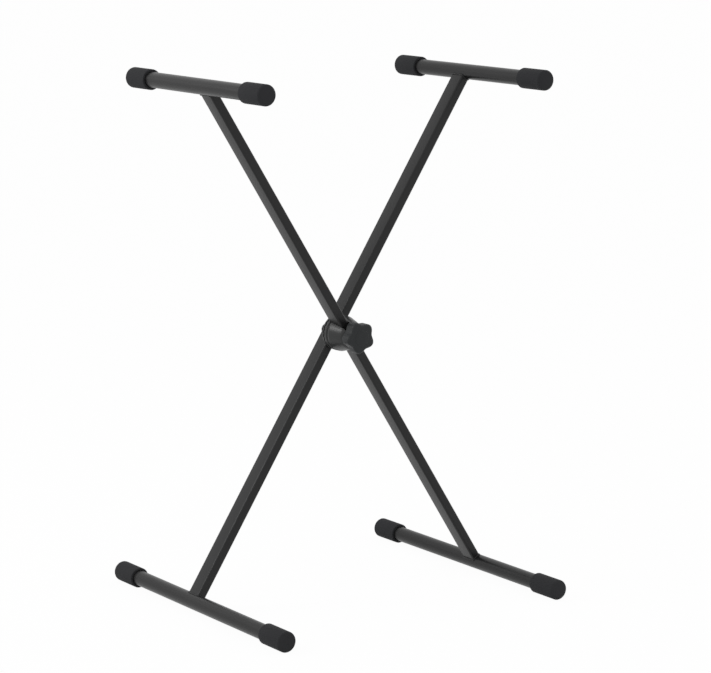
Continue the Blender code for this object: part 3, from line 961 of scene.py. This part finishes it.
@dataclass
class ClampBolt:
    """The carriage bolt, the release spring round it and the washer under the knob."""

    dome_steps: int = 12
    dome_step: float = 7.2  # degrees
    thread_steps: int = 10  # rings to one turn of thread
    run_out: float = 0.0005
    tip: float = 0.001
    neck_overlap: float = 0.0004
    neck_soft: float = 0.0004
    spring_wire: float = 0.0006
    spring_turns: int = 2
    coil_steps: int = 40
    washer_soft: float = 0.00035
    bore_soft: float = 0.0002

    def build(self) -> None:
        """Build the three pieces and hand them over."""
        self.bolt()
        self.spring()
        self.washer()

    def bolt(self) -> None:
        """The bolt: domed head, square neck, shank and rolled thread."""
        low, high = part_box("pivot_bolt")
        head = node_radius("pivot_bolt")
        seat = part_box("rear_leg_tube")[1].y + HAIR
        rim_y = seat + BOLT.head_rim
        thread = low.y + BOLT.thread_length
        root = BOLT.radius - BOLT.thread_depth
        turns = [math.radians(90 - self.dome_step * step) for step in range(1, self.dome_steps + 1)]
        profile = [(CORE, high.y)]
        profile += [(head * math.cos(turn), rim_y + (high.y - rim_y) * math.sin(turn)) for turn in turns]
        profile += [(head, seat + BROKEN_EDGE), (head - BROKEN_EDGE, seat), (BOLT.radius, seat),
                    (BOLT.radius, thread + self.run_out)]
        length = thread - low.y - self.tip
        rings = round(length / BOLT.pitch * self.thread_steps)
        profile += [(root, thread - length / rings * index) for index in range(rings + 1)]
        profile.append((root - BOLT.tip_bevel, low.y))
        bolt = add_turned(f"pivot_bolt{LOOK}", profile, SMALL_ROUND)

        def rolled(at: Vector) -> Vector:
            """Raise the thread's ridge on the far end of the shank.

            Args:
                at: A point of the turned bolt.

            Returns:
                Its new place.
            """
            across = math.hypot(at.x, at.z)
            if not low.y + self.tip / 2 < at.y < thread + HAIR or across < CORE:
                return at
            share = ((at.y - low.y) / BOLT.pitch + math.atan2(at.z, at.x) / FULL_TURN) % 1.0
            grow = (root + BOLT.thread_depth * (1.0 - abs(2.0 * share - 1.0))) / across
            return Vector((at.x * grow, at.y, at.z * grow))

        reshape(bolt, rolled)
        neck = add_box("neck", (2 * BOLT.radius, BOLT.neck_length, 2 * BOLT.radius),
                       (0, seat - BOLT.neck_length / 2 + self.neck_overlap, 0))
        edit_along(neck, Part.EDGES, 1)
        bpy.ops.mesh.bevel(offset=self.neck_soft, segments=3)
        settle(neck, lean("rear_leg"))
        combine(bolt, neck, "UNION")
        hand_over(bolt, at_pivot(), Body.REAR, Slot.ZINC, sharp=35.0)

    def spring(self) -> None:
        """The coil that parts the clutch when the knob is loosened."""
        low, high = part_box("release_spring")
        coil = (high.x - low.x) / 2 - self.spring_wire
        let_go()
        bpy.ops.mesh.primitive_circle_add(vertices=14, radius=self.spring_wire, location=(coil, 0, 0))
        spring = bpy.context.object
        spring.name = f"release_spring{LOOK}"
        bpy.ops.object.transform_apply()
        rise = (high.y - low.y - 2 * self.spring_wire) / self.spring_turns
        modify(spring, "SCREW", axis="Y", angle=FULL_TURN, screw_offset=-rise, iterations=self.spring_turns,
               steps=self.coil_steps, render_steps=self.coil_steps, use_merge_vertices=False)
        edit(spring, Part.EDGES)
        bpy.ops.mesh.select_non_manifold()
        bpy.ops.mesh.fill()
        face_out(spring)
        hand_over(spring, at_pivot(high.y - self.spring_wire), Body.REAR, Slot.ZINC, sharp=50.0)

    def washer(self) -> None:
        """The wide washer, with rolled edges."""
        near, far = (corner.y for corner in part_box("thrust_washer"))
        bore, edge, soft = BOLT.bore, self.bore_soft, self.washer_soft
        ring = node_radius("thrust_washer") - soft
        profile = arc((ring, far - soft), soft, 90, 0, 4) + arc((ring, near + soft), soft, 0, -90, 4)
        profile += [(bore + edge, near), (bore, near + edge), (bore, far - edge), (bore + edge, far)]
        washer = add_turned(f"thrust_washer{LOOK}", profile, FINE_ROUND, bored=True)
        hand_over(washer, at_pivot(), Body.CARRIER, Slot.ZINC)


@dataclass
class ClampKnob:
    """The five-lobed clamp knob, hollow and ribbed behind, and its brass insert."""

    lobes: int = 5
    mean_radius: float = 0.0237
    wave: float = 0.0025  # how far the lobes stand out
    first_lobe: float = math.radians(44.0)
    lobe_start: float = 0.001  # from the hub out to where the lobes begin
    lobe_blend: float = 0.0035
    wall: float = 0.0030
    draft: float = 0.0006  # what the wall gains towards the floor
    edge: float = 0.0046
    back_edge: float = 0.001
    crown: float = 0.0014
    raised: tuple[Span, ...] = ((CORE, 0.0), (0.0060, 0.00003), (0.0112, 0.00015), (0.0122, 0.0004))
    raised_foot: float = 0.0130  # where the raised round of the front comes down
    raised_step: float = 0.0002
    depth: float = 0.0195
    face: float = 0.0045
    hub_radius: float = 0.0125
    fillet: float = 0.0008
    insert_radius: float = 0.0065
    insert_gap: float = 0.0002
    socket_spare: float = 0.001
    rib: float = 0.0018
    rib_drop: float = 0.004
    rib_sink: float = 0.001  # a rib's reach into the hub and the floor
    rim_soft: float = 0.0004
    hub_soft: float = 0.0005
    knurls: int = 36
    knurl_depth: float = 0.00028
    waist: float = 0.0012  # half the length of the insert's waist
    waist_slope: float = 0.0008
    waist_depth: float = 0.0009

    def build(self) -> None:
        """Build the knob and its insert and hand them over."""
        self.knob()
        self.insert()

    def lobed(self, at: Vector) -> Vector:
        """Push a point of the turned knob out or in to the lobed outline, the hub left round.

        Args:
            at: The point.

        Returns:
            Its new place.
        """
        radius = math.hypot(at.x, at.z)
        share = min(max((radius - self.hub_radius - self.lobe_start) / self.lobe_blend, 0.0), 1.0)
        share = share * share * (3.0 - 2.0 * share)
        turn = math.atan2(at.z, at.x)
        push = self.wave * share * math.cos(self.lobes * (turn - self.first_lobe))
        grow = (radius + push) / radius
        return Vector((at.x * grow, at.y, at.z * grow))

    def knob(self) -> None:
        """The moulded knob."""
        low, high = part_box("knob")
        front = low.y + self.crown
        rim_back = front + self.depth
        mean, hub, edge = self.mean_radius, self.hub_radius, self.back_edge
        fillet, rim_soft, hub_soft = self.fillet, self.rim_soft, self.hub_soft
        inside = mean - self.wall
        floor = front + self.face
        socket = self.insert_radius + self.insert_gap
        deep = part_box("knob_insert")[0].y - self.socket_spare
        profile = [(radius, low.y + back) for radius, back in self.raised]
        profile += [(self.raised_foot, front - self.raised_step), (self.raised_foot + fillet, front)]
        profile += arc((mean - self.edge, front + self.edge), self.edge, -90, 0, 8)
        profile += arc((mean - edge, rim_back - edge), edge, 0, 90, 4)
        profile += [(inside + rim_soft, rim_back), (inside, rim_back - rim_soft),
                    (inside - self.draft, floor + fillet), (inside - self.draft - fillet, floor),
                    (hub + 2 * hub_soft, floor), (hub + rim_soft, floor + fillet),
                    (hub, high.y - hub_soft), (hub - hub_soft, high.y),
                    (socket, high.y), (socket, deep), (CORE, deep)]
        knob = add_turned(f"knob{LOOK}", profile, KNOB_ROUND)
        for index in range(self.lobes):
            rib = add_box("rib", (mean - hub, rim_back - floor - self.rib_drop, self.rib),
                          ((mean + hub) / 2 - self.rib_sink, (rim_back + floor) / 2 - self.rib_sink, 0))
            turn = -(self.first_lobe + FULL_TURN * index / self.lobes)
            settle(rib, Matrix.Rotation(turn, 4, "Y"))
            combine(knob, rib, "UNION")
        reshape(knob, self.lobed)
        hand_over(knob, at_pivot(), Body.KNOB, Slot.KNOB_PLASTIC, sharp=30.0)

    def insert(self) -> None:
        """The knurled brass bush."""
        near, far = (corner.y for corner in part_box("knob_insert"))
        middle = (near + far) / 2
        bore, outer, soft = BOLT.radius + self.insert_gap, self.insert_radius, BROKEN_EDGE
        narrow, shoulder = outer - self.waist_depth, self.waist + self.waist_slope
        profile = [(bore + soft, far), (outer - soft, far), (outer, far - soft), (outer, middle + shoulder),
                   (narrow, middle + self.waist), (narrow, middle - self.waist), (outer, middle - shoulder),
                   (outer, near + soft), (outer - soft, near), (bore + soft, near), (bore, near + soft),
                   (bore, far - soft)]
        bush = add_turned(f"knob_insert{LOOK}", profile, 4 * self.knurls, bored=True)

        def knurled(at: Vector) -> Vector:
            """Press the knurl into the widest rings.

            Args:
                at: A point of the turned bush.

            Returns:
                Its new place.
            """
            across = math.hypot(at.x, at.z)
            if across < outer - HAIR:
                return at
            share = math.atan2(at.z, at.x) * self.knurls / FULL_TURN % 1.0
            grow = 1.0 - self.knurl_depth * abs(2.0 * share - 1.0) / across
            return Vector((at.x * grow, at.y, at.z * grow))

        reshape(bush, knurled)
        hand_over(bush, at_pivot(), Body.KNOB, Slot.BRASS, sharp=25.0)


@dataclass
class Studio:
    """A white floor, soft lamps and the camera of the photograph."""

    azimuth: float = math.radians(-34.39)
    elevation: float = math.radians(10.09)
    roll: float = math.radians(0.20)
    distance: float = 4.27043
    aim: Vector = field(default_factory=lambda: Vector((-0.02190, -0.08013, 0.43572)))
    lens: float = 136.74
    sensor: float = 36.0
    floor_size: float = 60.0
    sky_strength: float = 0.80
    floor_glow: float = 0.96

    def build(self) -> None:
        """Set up the floor, the surroundings, the lamps and the camera."""
        self.floor()
        self.sky()
        self.lamp("key_left", (-2.6, -1.6, 2.6), size=2.2, power=5.0)
        self.lamp("fill_right", (2.8, -1.2, 2.2), size=2.4, power=5.0)
        self.lamp("back_left", (-1.95, 1.12, 1.62), size=0.65, power=14.5)
        self.camera()
        bpy.context.scene.view_settings.view_transform = "Standard"

    def seen(self, board: NodeBoard) -> Socket:
        """One where a camera, glossy or transmission ray looks, and zero elsewhere."""
        path = board.add("ShaderNodeLightPath").outputs
        return board.math("MAXIMUM", board.math("MAXIMUM", path["Is Camera Ray"], path["Is Glossy Ray"]),
                          path["Is Transmission Ray"])

    def floor(self) -> None:
        """A pale floor that keeps a soft shadow."""
        let_go()
        bpy.ops.mesh.primitive_plane_add(size=self.floor_size, location=(0, 0, 0))
        floor = bpy.context.object
        floor.name = "studio_floor"
        board, shader, material = start_material("studio_floor")
        board.feed(shader, {"Base Color": colour(0.9, 0.9, 0.9), "Roughness": 0.9, "Specular IOR Level": 0.0})
        glow = board.add("ShaderNodeEmission", {"Color": colour(1.0, 1.0, 1.0), "Strength": 1.0})
        factor = board.math("MULTIPLY", self.seen(board), self.floor_glow)
        mix = board.add("ShaderNodeMixShader", {0: factor, 1: shader.outputs[0], 2: glow.outputs[0]})
        board.feed(board.tree.nodes["Material Output"], {"Surface": mix.outputs[0]})
        floor.data.materials.append(material)

    def sky(self) -> None:
        """White surroundings, at lamp strength for the light that they give."""
        world = bpy.data.worlds.new("white_studio")
        world.use_nodes = True
        board = NodeBoard(world.node_tree)
        strength = board.spread(self.seen(board), (0.0, 1.0), (self.sky_strength, 1.0))
        board.feed(board.tree.nodes["Background"], {"Color": colour(1.0, 1.0, 1.0), "Strength": strength})
        bpy.context.scene.world = world

    def lamp(self, name: str, place: Sequence[float], size: float, power: float) -> None:
        """A soft area lamp that looks at the stand.

        Args:
            name: Its name.
            place: Where it stands.
            size: The side of its square.
            power: Its watts.
        """
        let_go()
        bpy.ops.object.light_add(type="AREA", location=place)
        lamp = bpy.context.object
        lamp.name = name
        assign(lamp.data, {"size": size, "energy": power})
        lamp.rotation_euler = (self.aim - Vector(place)).to_track_quat("-Z", "Y").to_euler()

    def camera(self) -> None:
        """The camera at the photograph's viewing angle."""
        turn = Matrix.Rotation(self.azimuth, 4, "Z") @ Matrix.Rotation(math.pi / 2 - self.elevation, 4, "X")
        turn = turn @ Matrix.Rotation(self.roll, 4, "Z")
        let_go()
        bpy.ops.object.camera_add()
        camera = bpy.context.object
        camera.name = "photograph_camera"
        camera.matrix_world = Matrix.Translation(self.aim) @ turn @ Matrix.Translation((0, 0, self.distance))
        assign(camera.data, {"lens": self.lens, "sensor_width": self.sensor, "clip_end": 2 * self.floor_size})
        bpy.context.scene.camera = camera


def main() -> None:
    """Build and dress the stand, then its studio."""
    logging.basicConfig(level=logging.INFO, format="%(name)s %(message)s")
    for prefix, body in (("front_leg", Body.FRONT), ("rear_leg", Body.REAR)):
        CrossedLeg(prefix, body).build()
    ToothedClutch().build()
    ClampBolt().build()
    ClampKnob().build()
    Studio().build()


if __name__ == "__main__":
    main()
